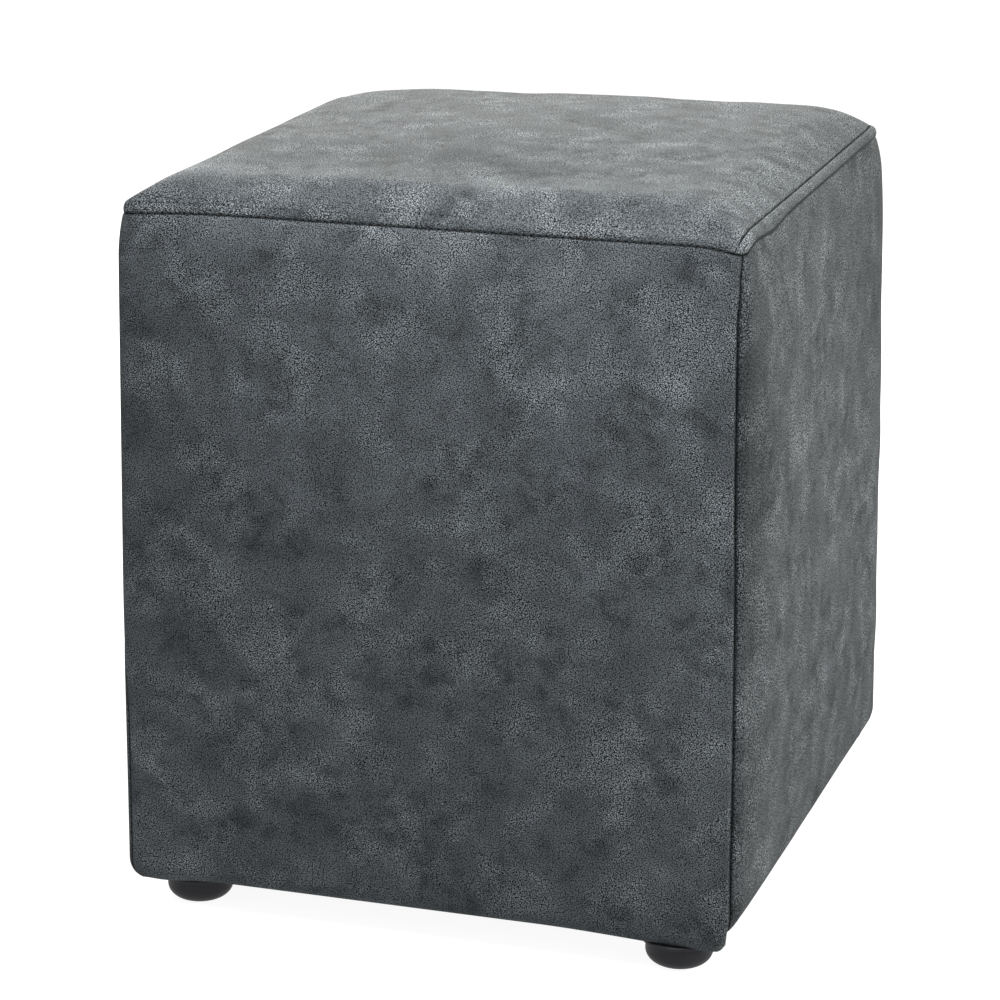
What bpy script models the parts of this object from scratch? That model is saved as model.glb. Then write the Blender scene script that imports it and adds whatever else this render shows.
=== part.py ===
"""Cube pouf stool: a square padded stool in a sewn cover, on four low plastic feet.

The cover is five panels, a crowned seat and four upright walls, joined by plain seams. Every panel is
modelled with its padding as one solid. Metres: +X is the stool's right, -Y its front, +Z up. The origin
is on the floor, under the middle of the stool.
"""
import math

import bmesh
import bpy
from mathutils import Matrix, Vector

# Body
SIDE = 0.380                # plan width half way up
TAPER = 0.025               # share of SIDE by which the underside is wider than the seat seam
FOOT_HEIGHT = 0.018         # floor to underside
WALL_HEIGHT = 0.412         # underside to seat seam
WALL_THICKNESS = 0.040      # board, padding and cover together
CORNER_RADIUS = 0.010       # upright corners
UNDER_RADII = {             # rounding at the bottom of a panel, left to right from outside: beside its
    # left seam, at its left and right ends clear of the seams, and beside its right seam
    "front": (0.015, 0.012, 0.012, 0.024),
    "right": (0.032, 0.032, 0.022, 0.022),
    "back": (0.012, 0.012, 0.012, 0.012),
    "left": (0.012, 0.012, 0.012, 0.015),
}
UNDER_REACH = 0.016         # how far from a seam the rounding beside it is felt
GAP = 0.0003                # left between neighbouring pieces
MITRE_RELIEF = 0.001        # how far the walls' mitred ends open towards the inside

# Seams
SEAM_DEPTH = 0.0015         # how far the cloth turns in at a seam
SEAM_REACH = 0.004          # how far from a seam it starts to turn in
SEAM_TURN = math.radians(20)  # how far round a corner the front and back panels reach
PULL_DEPTH = 0.003          # how far the walls are drawn in at the seat seam
PULL_REACH = 0.030
CORNERS = (                 # side of X, side of Y, drop of the seat seam, share of the pad missing there
    (1, -1, 0.005, 0.0),
    (-1, -1, 0.002, 0.2),
    (-1, 1, 0.002, 0.5),
    (1, 1, 0.001, 0.0),
)
DIP_REACH = 0.040           # along the seam
DIP_FADE = 0.060            # down the wall

# Seat: its seam allowance lies under the rim and raises a welt there, and the pad crowns inside it
WELT_WIDTH = 0.0040         # half the width of the welt's rounding
WELT_HEIGHT = 0.0055        # top of the welt above the seam
WELT_START = math.radians(-15)  # where its rounding starts, from the level
GROOVE_INSET = 0.0082       # from the wall's face to the groove inside the welt
GROOVE_DEPTHS = {"front": 0.0003, "right": 0.0014, "back": 0.0014, "left": 0.0014}
CROWN_HEIGHT = 0.0185       # top of the pad's shoulder above the seam
SHOULDER_REACH = 0.031
SHOULDER_POWER = 3          # how square the shoulder is in plan at a corner
PAD_REACH = 0.090           # how far from a corner the pad can be thinner
PAD_LEAN = 0.10             # how much fuller the pad is at the right edge, and thinner at the left
DOME_HEIGHT = 0.0045        # further rise to the middle

# Underside and feet
BASE_THICKNESS = 0.012
BASE_ROUNDING = 0.0015
FOOT_RADIUS = 0.020
FOOT_ROUNDING = 0.011       # how far the rounding of the lower edge reaches in plan
FOOT_ROUNDING_HEIGHT = 0.009
FLANGE_RADIUS = 0.0228
FLANGE_THICKNESS = 0.0022
FLANGE_ROUNDING = 0.0006
FEET = (                    # name, x, y: screwed on by hand, a few millimetres out of square
    ("foot_front_left", -0.1526, -0.1632),
    ("foot_front_right", 0.1509, -0.1692),
    ("foot_back_left", -0.1530, 0.1610),
    ("foot_back_right", 0.1530, 0.1610),
)

# Steps of the meshes
SEAM_STEPS = (0.0, 0.0008, 0.002, 0.004)  # distances from a seam
PULL_STEPS = (0.010, 0.018, 0.030)        # distances below the seat seam
# distances from the body's edge to the lines across a panel
PANEL_LINES = (CORNER_RADIUS, 0.013, 0.018, 0.024, 0.032, 0.042, 0.065, 0.100, 0.142)
STRAIGHT_ROWS = 6
UNDER_ROWS = 6
WELT_STEPS = 5
FOOT_ARC_STEPS = 5
FOOT_SEGMENTS = 32
ARC_STEP = math.radians(13)
SMALLEST_RADIUS = 0.001     # left to an upright corner where the wall turns under
MERGE_DISTANCE = 0.00001
COVER_SMOOTH_ANGLE = math.radians(60)
BASE_SMOOTH_ANGLE = math.radians(30)
FOOT_SMOOTH_ANGLE = math.radians(35)

RIGHT_ANGLE = math.radians(90)
SEAM_LEVEL = FOOT_HEIGHT + WALL_HEIGHT
INNER_HALF = SIDE / 2 * (1 - TAPER / 2) - WALL_THICKNESS


def eased(share):
    """A share from 0 to 1, eased at both ends."""
    share = min(max(share, 0.0), 1.0)
    return share * share * (3 - 2 * share)


def half_width(height):
    """Half the body's plan width at a height above its underside."""
    return SIDE / 2 * (1 + TAPER * (0.5 - height / WALL_HEIGHT))


SEAM_HALF = half_width(WALL_HEIGHT)


def seam_lip(distance):
    """How far the cloth has turned in at a distance from a seam."""
    return SEAM_DEPTH * max(0.0, 1 - distance / SEAM_REACH) ** 2


def corner_dip(x, y):
    """How far the seat seam is pulled down near the corners."""
    dip = 0.0
    for side_x, side_y, depth, _ in CORNERS:
        distance = math.hypot(side_x * SEAM_HALF - x, side_y * SEAM_HALF - y)
        dip += depth * eased(1 - distance / DIP_REACH)
    return dip


def pad_share(x, y):
    """How much of the pad's full height there is: more to the right, less near the thin corners."""
    share = 1 + PAD_LEAN * x / SEAM_HALF
    for side_x, side_y, _, missing in CORNERS:
        distance = math.hypot(side_x * SEAM_HALF - x, side_y * SEAM_HALF - y)
        share -= missing * eased(1 - distance / PAD_REACH)
    return share


def make_material(name, colour, roughness):
    material = bpy.data.materials.new(name)
    material.use_nodes = True
    shader = material.node_tree.nodes["Principled BSDF"]
    shader.inputs["Base Color"].default_value = (*colour, 1.0)
    shader.inputs["Roughness"].default_value = roughness
    shader.inputs["Metallic"].default_value = 0.0
    return material


def add_object(name, bm, material, smooth_angle):
    """Turns a finished bmesh into a named object, shaded smooth up to the given angle."""
    bmesh.ops.recalc_face_normals(bm, faces=bm.faces)
    mesh = bpy.data.meshes.new(name)
    bm.to_mesh(mesh)
    bm.free()
    mesh.shade_smooth()
    mesh.set_sharp_from_angle(angle=smooth_angle)
    mesh.materials.append(material)
    obj = bpy.data.objects.new(name, mesh)
    bpy.context.collection.objects.link(obj)
    return obj


def padded_solid(name, columns, rows, place, tuck, material):
    """A panel with its padding: the cover is a grid of points from place(column, row), the rim is carried
    inwards to tuck(column, row), and the flat inside is closed."""
    bm = bmesh.new()
    bmesh.ops.create_grid(bm, x_segments=columns - 1, y_segments=rows - 1, size=0.5)
    cells = {}
    for vert in bm.verts:
        column = round((vert.co.x + 0.5) * (columns - 1))
        row = round((vert.co.y + 0.5) * (rows - 1))
        cells[vert] = (column, row)
    for vert, cell in cells.items():
        vert.co = place(*cell)
    rim = [edge for edge in bm.edges if edge.is_boundary]
    carried = bmesh.ops.extrude_edge_only(bm, edges=rim)["geom"]
    for vert in carried:
        if isinstance(vert, bmesh.types.BMVert):
            neighbours = [edge.other_vert(vert) for edge in vert.link_edges]
            source = next(neighbour for neighbour in neighbours if neighbour in cells)
            vert.co = tuck(*cells[source])
    bmesh.ops.remove_doubles(bm, verts=bm.verts, dist=MERGE_DISTANCE)
    inside = [edge for edge in bm.edges if edge.is_boundary]
    lid = bmesh.ops.contextual_create(bm, geom=inside)["faces"]
    bmesh.ops.poke(bm, faces=lid)
    return add_object(name, bm, material, COVER_SMOOTH_ANGLE)


def under_radius(radii, share, distance):
    """Rounding at the bottom of a wall, at a share of its flat from -1 to 1 and a distance from a seam."""
    beside_left, left, right, beside_right = radii
    even = left + (right - left) * (share + 1) / 2
    own = beside_left if share < 0 else beside_right
    return even + (own - even) * eased(1 - distance / UNDER_REACH)


def wall_profile(under):
    """(inset, height) pairs down a wall: seam, drawn-in top, straight run, rounding to the underside."""
    profile = []
    for drop in SEAM_STEPS + PULL_STEPS:
        inset = seam_lip(drop) + PULL_DEPTH * (1 - eased(drop / PULL_REACH))
        profile.append((inset, WALL_HEIGHT - drop))
    run = WALL_HEIGHT - PULL_REACH - under
    for step in range(1, STRAIGHT_ROWS):
        profile.append((0.0, under + run * (1 - step / STRAIGHT_ROWS)))
    for step in range(UNDER_ROWS + 1):
        angle = RIGHT_ANGLE * step / UNDER_ROWS
        profile.append((under * (1 - math.cos(angle)), under * (1 - math.sin(angle))))
    return profile


def wall_columns(turn):
    """(angle round the corner, share of the flat, distance from the seam) for half of a wall's columns,
    from its seam to its middle. The wall reaches round the corner by the angle turn."""
    angles = [turn - step / CORNER_RADIUS for step in SEAM_STEPS if step < CORNER_RADIUS * turn]
    steps = math.ceil(angles[-1] / ARC_STEP)
    angles += [angles[-1] * (1 - step / steps) for step in range(1, steps)]
    columns = [(angle, 1.0, CORNER_RADIUS * (turn - angle)) for angle in angles]
    flat = SEAM_HALF - CORNER_RADIUS
    for line in PANEL_LINES:
        columns.append((0.0, (SEAM_HALF - line) / flat, CORNER_RADIUS * turn + line - CORNER_RADIUS))
    columns.append((0.0, 0.0, flat + CORNER_RADIUS * turn))
    return columns


def make_wall(name, quarter_turns, turn, under_radii, material):
    """One upright panel, worked out facing the front and turned into its place."""
    half = wall_columns(turn)
    left = [(-angle, -share, distance) for angle, share, distance in half]
    columns = left + half[-2::-1]
    spin = Matrix.Rotation(RIGHT_ANGLE * quarter_turns, 3, "Z")
    profiles = [wall_profile(under_radius(under_radii, share, distance)) for _, share, distance in columns]

    def place(column, row):
        angle, share, distance = columns[column]
        inset, height = profiles[column][row]
        inset += seam_lip(distance)
        radius = max(CORNER_RADIUS - inset, SMALLEST_RADIUS)
        centre = half_width(height) - inset - radius
        x = share * (centre - GAP) + radius * math.sin(angle)
        y = -centre - radius * math.cos(angle)
        point = spin @ Vector((x, y, FOOT_HEIGHT + height))
        point.z -= corner_dip(point.x, point.y) * eased(1 - (WALL_HEIGHT - height) / DIP_FADE)
        return point

    def tuck(column, row):
        _, share, _ = columns[column]
        _, height = profiles[column][row]
        x = share * (INNER_HALF - MITRE_RELIEF)
        return spin @ Vector((x, -INNER_HALF, FOOT_HEIGHT + height))

    return padded_solid(name, len(columns), len(profiles[0]), place, tuck, material)


def seat_rings():
    """(inset, height above the seam, share of the groove's depth), from the seam to the groove."""
    centre = PULL_DEPTH + WELT_WIDTH
    rings = [(PULL_DEPTH + SEAM_DEPTH, 0.0, 0.0)]
    for step in range(WELT_STEPS + 1):
        angle = WELT_START + (RIGHT_ANGLE - WELT_START) * step / WELT_STEPS
        rise = (math.sin(angle) - math.sin(WELT_START)) / (1 - math.sin(WELT_START))
        rings.append((centre - WELT_WIDTH * math.cos(angle), WELT_HEIGHT * rise, 0.0))
    rings.append((GROOVE_INSET, WELT_HEIGHT, 1.0))
    return rings


def edge_side(x, y):
    """The side of the seat on which a point lies."""
    if abs(x) > abs(y):
        return "right" if x > 0 else "left"
    return "back" if y > 0 else "front"


def crown_rise(x, y):
    """Height of the pad over the welt: a rounded shoulder inside the groove and a slow dome."""
    half = SEAM_HALF - GROOVE_INSET
    across, along = half - abs(x), half - abs(y)
    if min(across, along) <= 0:
        return 0.0
    near = (across ** -SHOULDER_POWER + along ** -SHOULDER_POWER) ** (-1 / SHOULDER_POWER)
    shoulder = math.sin(RIGHT_ANGLE * min(near / SHOULDER_REACH, 1.0))
    dome = DOME_HEIGHT * eased(across / half) * eased(along / half)
    return (CROWN_HEIGHT - WELT_HEIGHT) * shoulder * pad_share(x, y) + dome


def make_seat(name, material):
    """The crowned seat panel, on a grid whose outer rings follow the welt."""
    rings = seat_rings()
    lines = list(PANEL_LINES) + [SEAM_HALF]
    half_count = len(rings) + len(lines)
    last = 2 * (half_count - 1)
    flat = SEAM_HALF - CORNER_RADIUS

    def line_of(index):
        return min(index, last - index)

    def plan(column, row):
        """Plan position: straight lines over the flat, arcs where an outer ring rounds a corner."""
        across, along = line_of(column), line_of(row)
        ring = min(across, along)
        if ring >= len(rings):
            x = SEAM_HALF - lines[across - len(rings)]
            y = SEAM_HALF - lines[along - len(rings)]
        else:
            inset = rings[ring][0]
            other = max(across, along)
            turn = math.radians(45) * max(0.0, 1 - (other - ring) / (len(rings) - ring))
            radius = CORNER_RADIUS - inset
            reach = flat + radius * math.cos(turn)
            side = flat + radius * math.sin(turn)
            if other >= len(rings):
                side = SEAM_HALF - lines[other - len(rings)]
            x, y = (reach, side) if across <= along else (side, reach)
        return math.copysign(x, column - last / 2), math.copysign(y, row - last / 2), ring

    def place(column, row):
        x, y, ring = plan(column, row)
        height = WELT_HEIGHT + crown_rise(x, y)
        if ring < len(rings):
            _, height, groove_share = rings[ring]
            height -= groove_share * GROOVE_DEPTHS[edge_side(x, y)]
        return Vector((x, y, SEAM_LEVEL + GAP + height - corner_dip(x, y)))

    def tuck(column, row):
        x, y, _ = plan(column, row)
        scale = INNER_HALF / flat
        x = min(max(x * scale, -INNER_HALF), INNER_HALF)
        y = min(max(y * scale, -INNER_HALF), INNER_HALF)
        return Vector((x, y, SEAM_LEVEL + GAP))

    return padded_solid(name, last + 1, last + 1, place, tuck, material)


def make_base(name, material):
    """The flat underside between the walls."""
    size = 2 * (INNER_HALF - 2 * GAP)
    bm = bmesh.new()
    bmesh.ops.create_cube(bm, size=1.0, matrix=Matrix.Diagonal((size, size, BASE_THICKNESS, 1.0)))
    base = add_object(name, bm, material, BASE_SMOOTH_ANGLE)
    base.location.z = FOOT_HEIGHT + BASE_THICKNESS / 2
    bevel = base.modifiers.new("rounded_edges", "BEVEL")
    bevel.width = BASE_ROUNDING
    bevel.segments = 2
    return base


def make_foot(name, x, y, material):
    """One glide: a round pad with a rounded lower edge under a thin flange, turned about its own axis."""
    profile = [(0.0, 0.0)]
    for step in range(FOOT_ARC_STEPS + 1):
        angle = RIGHT_ANGLE * step / FOOT_ARC_STEPS
        radius = FOOT_RADIUS - FOOT_ROUNDING * (1 - math.sin(angle))
        profile.append((radius, FOOT_ROUNDING_HEIGHT * (1 - math.cos(angle))))
    top = FOOT_HEIGHT - GAP
    flange_bottom = top - FLANGE_THICKNESS
    profile += [
        (FOOT_RADIUS, flange_bottom),
        (FLANGE_RADIUS - FLANGE_ROUNDING, flange_bottom),
        (FLANGE_RADIUS, flange_bottom + FLANGE_ROUNDING),
        (FLANGE_RADIUS, top),
        (0.0, top),
    ]
    bm = bmesh.new()
    verts = [bm.verts.new((radius, 0.0, height)) for radius, height in profile]
    edges = [bm.edges.new(pair) for pair in zip(verts, verts[1:])]
    bmesh.ops.spin(
        bm,
        geom=verts + edges,
        axis=(0.0, 0.0, 1.0),
        cent=(0.0, 0.0, 0.0),
        angle=4 * RIGHT_ANGLE,
        steps=FOOT_SEGMENTS,
        use_duplicate=False,
    )
    bmesh.ops.remove_doubles(bm, verts=bm.verts, dist=MERGE_DISTANCE)
    foot = add_object(name, bm, material, FOOT_SMOOTH_ANGLE)
    foot.location = (x, y, 0.0)
    return foot


for old in list(bpy.data.objects):
    bpy.data.objects.remove(old, do_unlink=True)

cover = make_material("slate_cover", (0.105, 0.115, 0.122), 0.75)
base_cloth = make_material("base_cloth", (0.012, 0.012, 0.013), 0.9)
foot_plastic = make_material("foot_plastic", (0.014, 0.014, 0.017), 0.42)

make_seat("top_panel", cover)
make_wall("front_panel", 0, SEAM_TURN, UNDER_RADII["front"], cover)
make_wall("right_panel", 1, RIGHT_ANGLE - SEAM_TURN, UNDER_RADII["right"], cover)
make_wall("back_panel", 2, SEAM_TURN, UNDER_RADII["back"], cover)
make_wall("left_panel", 3, RIGHT_ANGLE - SEAM_TURN, UNDER_RADII["left"], cover)
make_base("base_panel", base_cloth)
for foot_name, foot_x, foot_y in FEET:
    make_foot(foot_name, foot_x, foot_y, foot_plastic)
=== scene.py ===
import math

import bmesh
import bpy
import numpy as np
from mathutils import Matrix


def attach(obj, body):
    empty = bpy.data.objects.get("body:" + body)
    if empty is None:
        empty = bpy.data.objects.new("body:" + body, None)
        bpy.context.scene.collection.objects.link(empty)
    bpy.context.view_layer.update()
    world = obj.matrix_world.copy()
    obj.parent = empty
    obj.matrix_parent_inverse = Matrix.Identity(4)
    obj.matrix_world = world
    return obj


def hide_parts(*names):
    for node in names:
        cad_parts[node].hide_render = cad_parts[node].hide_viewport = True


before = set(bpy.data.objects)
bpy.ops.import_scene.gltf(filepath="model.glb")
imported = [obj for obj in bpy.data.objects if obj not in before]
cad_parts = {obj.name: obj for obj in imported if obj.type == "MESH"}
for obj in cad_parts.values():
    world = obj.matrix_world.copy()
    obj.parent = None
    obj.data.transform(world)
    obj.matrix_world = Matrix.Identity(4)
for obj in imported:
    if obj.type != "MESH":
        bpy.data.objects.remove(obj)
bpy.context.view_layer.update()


# ---- Camera -------------------------------------------------------------------------------------
# The photograph's view: a long lens from a little above and to the right of the front, found by
# fitting the stool's outline and seams.
FOCAL_PIXELS = 3429.5
IMAGE_PIXELS = 1000.0
SENSOR_WIDTH = 36.0
LOOK_DOWN = math.radians(16.572)
LOOK_LEFT = math.radians(17.558)
ROLL = math.radians(0.144)
CAMERA_PLACE = (0.6070, -1.9601, 0.8299)

camera_data = bpy.data.cameras.new("camera")
camera_data.sensor_width = SENSOR_WIDTH
camera_data.lens = SENSOR_WIDTH * FOCAL_PIXELS / IMAGE_PIXELS
camera = bpy.data.objects.new("camera", camera_data)
bpy.context.collection.objects.link(camera)
turn = Matrix.Rotation(LOOK_LEFT, 4, "Z") @ Matrix.Rotation(math.pi / 2 - LOOK_DOWN, 4, "X")
camera.matrix_world = Matrix.Translation(CAMERA_PLACE) @ turn @ Matrix.Rotation(ROLL, 4, "Z")
bpy.context.scene.camera = camera
bpy.context.scene.view_settings.view_transform = "Standard"


# ---- Cover material -----------------------------------------------------------------------------
# Slate-grey napped leather cloth with a fine pebbled grain: small tufts with dark valleys between them,
# cloudy patches where the nap lies this way and that, and small dark blotches.
SLATE = (0.0763, 0.0856, 0.0933)
TUFTS_A_METRE = 1180.0
PEBBLES_A_METRE = 600.0
RED_SLOPE = 1.02
BLUE_SLOPE = 0.985


class Wire:
    """A shader socket that can be added to, multiplied and so on: each operator adds a Math node."""

    tree = None

    def __init__(self, socket):
        self.socket = socket

    @classmethod
    def node(cls, kind, settings=None, inputs=None, output=0):
        """Adds a node: its settings first, then a value or a link for each named or numbered socket."""
        made = cls.tree.nodes.new(kind)
        for name, value in (settings or {}).items():
            setattr(made, name, value)
        for key, value in (inputs or {}).items():
            if isinstance(value, Wire):
                cls.tree.links.new(value.socket, made.inputs[key])
            else:
                made.inputs[key].default_value = value
        return cls(made.outputs[output])

    def maths(self, operation, *others, flipped=False):
        """A Math node of this and the other values, in the opposite order where flipped."""
        values = [self, *others][:: -1 if flipped else 1]
        return Wire.node("ShaderNodeMath", {"operation": operation}, dict(enumerate(values)))

    def __add__(self, other):
        return self.maths("ADD", other)

    def __sub__(self, other):
        return self.maths("SUBTRACT", other)

    def __rsub__(self, other):
        return self.maths("SUBTRACT", other, flipped=True)

    def __mul__(self, other):
        return self.maths("MULTIPLY", other)

    def smooth(self, low, high):
        """0 below low, 1 above high, eased between."""
        sockets = {"Value": self, "From Min": low, "From Max": high}
        return Wire.node("ShaderNodeMapRange", {"interpolation_type": "SMOOTHSTEP"}, sockets)

    def mix(self, start, end):
        """The colour between start and end at this share."""
        sockets = {0: self, 6: start, 7: end}
        return Wire.node("ShaderNodeMix", {"data_type": "RGBA"}, sockets, output=2)


def new_material(name):
    """An empty material with its Principled shader; the wires made next go into its tree."""
    material = bpy.data.materials.new(name)
    material.use_nodes = True
    Wire.tree = material.node_tree
    return material, material.node_tree.nodes["Principled BSDF"]


def noise(place, scale, detail=2.0, roughness=0.5, distortion=0.0, output=0):
    """Noise whose pattern repeats about scale times a metre."""
    sockets = {
        "Vector": place, "Scale": scale, "Detail": detail, "Roughness": roughness, "Distortion": distortion,
    }
    return Wire.node("ShaderNodeTexNoise", {}, sockets, output)


def cells(place, scale, randomness=1.0):
    """Distance in the plane to the nearest of scattered points, scale of them a metre, in units of their
    spacing."""
    sockets = {"Vector": place, "Scale": scale, "Randomness": randomness}
    return Wire.node("ShaderNodeTexVoronoi", {"voronoi_dimensions": "2D"}, sockets)


def link(wire, shader, socket):
    """Feeds a wire into the named socket of a shader."""
    Wire.tree.links.new(wire.socket, shader.inputs[socket])


def napped_cover(name):
    """The colour is slate times e to the power of tone, a sum of patterns round zero: fine tufts, coarser
    pebbles in some patches, dark blotches, and clouds at two sizes. Red rises a little more with tone than
    green does, and blue a little less, so dark places are cooler. The patterns read attribute cloth, the
    place on the cut panel. Attribute seam roughens the cloth beside a seam and in the seat's groove and
    darkens it there, partly as pile pressed flat and partly as painted shade of the seam's ditch and the
    groove. A third attribute adds listed patches of painted light and shade, mixed with the pile's patchy
    lie, and attribute relief scales the grain and adds pebbles to it."""
    material, shader = new_material(name)
    place = Wire.node("ShaderNodeAttribute", {"attribute_name": "cloth"}, output=1)
    seam = Wire.node("ShaderNodeAttribute", {"attribute_name": "seam"}, output=2)
    # an attribute of listed patches of painted light and shade, mixed with the pile's patchy lie
    nap = Wire.node("ShaderNodeAttribute", {"attribute_name": "nap"}, output=2)
    relief = Wire.node("ShaderNodeAttribute", {"attribute_name": "relief"}, output=2)
    shift = noise(place, 420.0, 1.0, output=1)
    bending = {0: shift, 1: (0.0016, 0.0016, 0.0016), 2: place}
    bent = Wire.node("ShaderNodeVectorMath", {"operation": "MULTIPLY_ADD"}, bending)
    tufts = 0.45 - cells(bent, TUFTS_A_METRE, 0.8).smooth(0.20, 0.66)
    pebbles = 0.4 - cells(bent, PEBBLES_A_METRE, 0.9).smooth(0.25, 0.75)
    coarse = noise(place, 34.0, 3.0, 0.6).smooth(0.42, 0.66)
    clouds = noise(place, 30.0, 3.0, 0.6, 0.4) - 0.5
    broad = noise(place, 8.0, 2.0) - 0.5
    blotched = noise(place, 24.0, 2.0).smooth(0.35, 0.60)
    blotches = noise(place, 75.0, 3.0, 0.6, 0.3).smooth(0.44, 0.74) * blotched
    pebbled = pebbles * (coarse * 0.18 + (relief - 1.0) * 2.5)
    grain = (tufts * (coarse * 0.50 + 0.62) + pebbled) * relief
    # the seam attribute takes off tone as painted shade in the seam ditches and the groove, partly also pile
    # pressed flat
    tone = grain * 2.6 + clouds * 1.2 + broad * 0.3 - blotches * 0.6 - seam * 1.6 + nap - 0.12
    red, green, blue = tone * RED_SLOPE, tone, tone * BLUE_SLOPE
    powers = {0: red.maths("EXPONENT"), 1: green.maths("EXPONENT"), 2: blue.maths("EXPONENT")}
    shade = Wire.node("ShaderNodeCombineColor", {}, powers)
    multiply = {"data_type": "RGBA", "blend_type": "MULTIPLY"}
    tinted = Wire.node("ShaderNodeMix", multiply, {0: 1.0, 6: (*SLATE, 1.0), 7: shade}, output=2)
    link(tinted, shader, "Base Color")
    link(0.84 - grain * 0.08 + seam * 0.08, shader, "Roughness")
    hills = grain * 0.8 - blotches * 0.4
    bump = Wire.node("ShaderNodeBump", {}, {"Strength": 0.6, "Distance": 0.0006, "Height": hills})
    link(bump, shader, "Normal")
    shader.inputs["Specular IOR Level"].default_value = 0.16
    shader.inputs["Sheen Weight"].default_value = 0.03
    shader.inputs["Sheen Roughness"].default_value = 0.4
    shader.inputs["Sheen Tint"].default_value = (1.0, 1.0, 0.92, 1.0)
    return material


cover = napped_cover("napped_slate_cover")


# ---- Seat ---------------------------------------------------------------------------------------
# The seat is one square cover panel over its foam pad. Its seam allowance is folded under the rim and
# caught down, which raises a round welt along the edge, and the pad crowns inside the groove.
SIDE = 0.380
TAPER = 0.025
FOOT_HEIGHT = 0.018
WALL_HEIGHT = 0.412
WALL_THICKNESS = 0.040
CORNER_RADIUS = 0.010
GAP = 0.0003
SEAM_LEVEL = FOOT_HEIGHT + WALL_HEIGHT
SEAM_HALF = SIDE / 2 * (1 - TAPER / 2)
INNER_HALF = SEAM_HALF - WALL_THICKNESS
FLAT_HALF = SEAM_HALF - CORNER_RADIUS
SEAM_DEPTH = 0.0009
PULL_DEPTH = 0.003
WELT_RADIUS = 0.0035
WELT_HEIGHT = 0.0052
WELT_START = math.radians(-15)
GROOVE_INSET = 0.0077
GROOVE_DEPTH = 0.0032
GROOVE_WIDTH = 0.0007
GROOVE_RING_STEP = 0.0002
FRONT_GROOVE_INSET = 0.0054
FRONT_GROOVE_DEPTH = 0.0007
# the faint line above the front seam: x of its right end, and the length over which it fades in
FRONT_GROOVE_FADE = (-0.01, 0.08)
# the groove's end at the front right: share of its depth, where it starts and the length of its slope
RUN_OUT = (0.6, 0.0035, 0.003)
FRONT_BLEND = 0.006
FILL_HEIGHT = 0.0015
FILL_INSETS = (0.0048, 0.0095, 0.028)
# soft swells of the pad: height, length, seed; and the distance over which they rise inside the groove
SEAT_SWELLS = ((0.0007, 0.110, 3), (0.00022, 0.038, 4))
SEAT_SWELL_REACH = 0.02
# sag of the seat seam: depth, y on the right edge or x on the front, reach
RIGHT_SEAM_SAG = (0.0030, -0.118, 0.026)
FRONT_SEAM_SAG = (0.0015, -0.186, 0.038)
CROWN_HEIGHT = 0.0185
SHOULDER_REACH = 0.031
SHOULDER_POWER = 3
DOME_HEIGHT = 0.0045
PAD_REACH = 0.090
PAD_LEAN = 0.10
# side of X, side of Y, drop of the seat seam, its reach, share of the pad missing, how far the seat's
# corner is drawn in
CORNERS = (
    (1, -1, 0.0060, 0.035, 0.0, 0.0),
    (-1, -1, 0.0020, 0.060, -0.22, 0.0006),
    (-1, 1, 0.0020, 0.040, 0.5, 0.0),
    (1, 1, 0.0014, 0.040, 0.0, 0.0035),
)
DRAW_REACH = 0.045
# soft humps of the pad near the back: x, y, reach, height
HUMPS = ((-0.015, 0.125, 0.055, 0.0012), (0.105, 0.120, 0.070, 0.0012))
# patches of painted light and shade on the seat, mixed with the pile's patchy lie: place across and
# along, reach across and along, lighter or darker; the lighter patch towards the back is painted light
# where the top catches the lights behind
SEAT_LIGHT_AND_NAP_PATCHES = (
    (-0.020, -0.092, 0.120, 0.036, -0.34),
    (0.060, -0.150, 0.070, 0.020, 0.17),
    (-0.150, -0.135, 0.045, 0.032, 0.46),
    (0.020, 0.120, 0.160, 0.060, 0.19),
    (0.110, -0.110, 0.060, 0.030, -0.10),
)
SEAT_SINK = 0.0004
SEAT_TILT = 0.0006
SEAT_LINE_STEP = 0.0026
# keeps the middle of the seat, which is no way from the middle, from being divided by nothing
LEAST_REACH = 0.001
# the painted shade along the seat seam's ditch, partly also pile pressed flat: height of the welt over
# which it fades, and its strength on the right, where the lights cast no shade into the ditch
SEAM_SHADE_HEIGHT = 0.0008
RIGHT_SEAM_SHADE = 1.8
SEAT_RELIEF = 1.075


def eased(share):
    """A share clipped to 0..1 and eased at both ends: 3s^2 - 2s^3."""
    share = np.clip(share, 0, 1)
    return share * share * (3 - 2 * share)


def corner_distance(x, y, side_x, side_y):
    """Plan distance to the corner of the seam on the given sides."""
    return np.hypot(side_x * SEAM_HALF - x, side_y * SEAM_HALF - y)


def seam_drop(x, y):
    """How far the seat lies below its level: a slight tilt to the left, and a square law at each corner."""
    total = SEAT_SINK - SEAT_TILT * x / SEAM_HALF
    for side_x, side_y, drop, reach, *_ in CORNERS:
        total = total + drop * np.clip(1 - corner_distance(x, y, side_x, side_y) / reach, 0, 1) ** 2
    return total


def drawn_in(x, y, share):
    """Plan position after each corner is drawn towards the middle by its amount times the share given."""
    shift_x, shift_y = 0, 0
    for side_x, side_y, *_, amount in CORNERS:
        near = np.clip(1 - corner_distance(x, y, side_x, side_y) / DRAW_REACH, 0, 1) ** 2
        shift_x = shift_x - side_x * amount * near * share
        shift_y = shift_y - side_y * amount * near * share
    return x + shift_x, y + shift_y


def swells(x, y, length, seed):
    """A smooth random surface of about unit height: ten plane waves of that length in random directions."""
    random = np.random.default_rng(seed)
    total = np.zeros(np.broadcast(x, y).shape)
    for _ in range(10):
        angle, phase = random.uniform(0, 2 * math.pi, 2)
        number = 2 * math.pi / (length * random.uniform(0.7, 1.5))
        total = total + np.sin(number * (x * math.cos(angle) + y * math.sin(angle)) + phase)
    return total / 4


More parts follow.
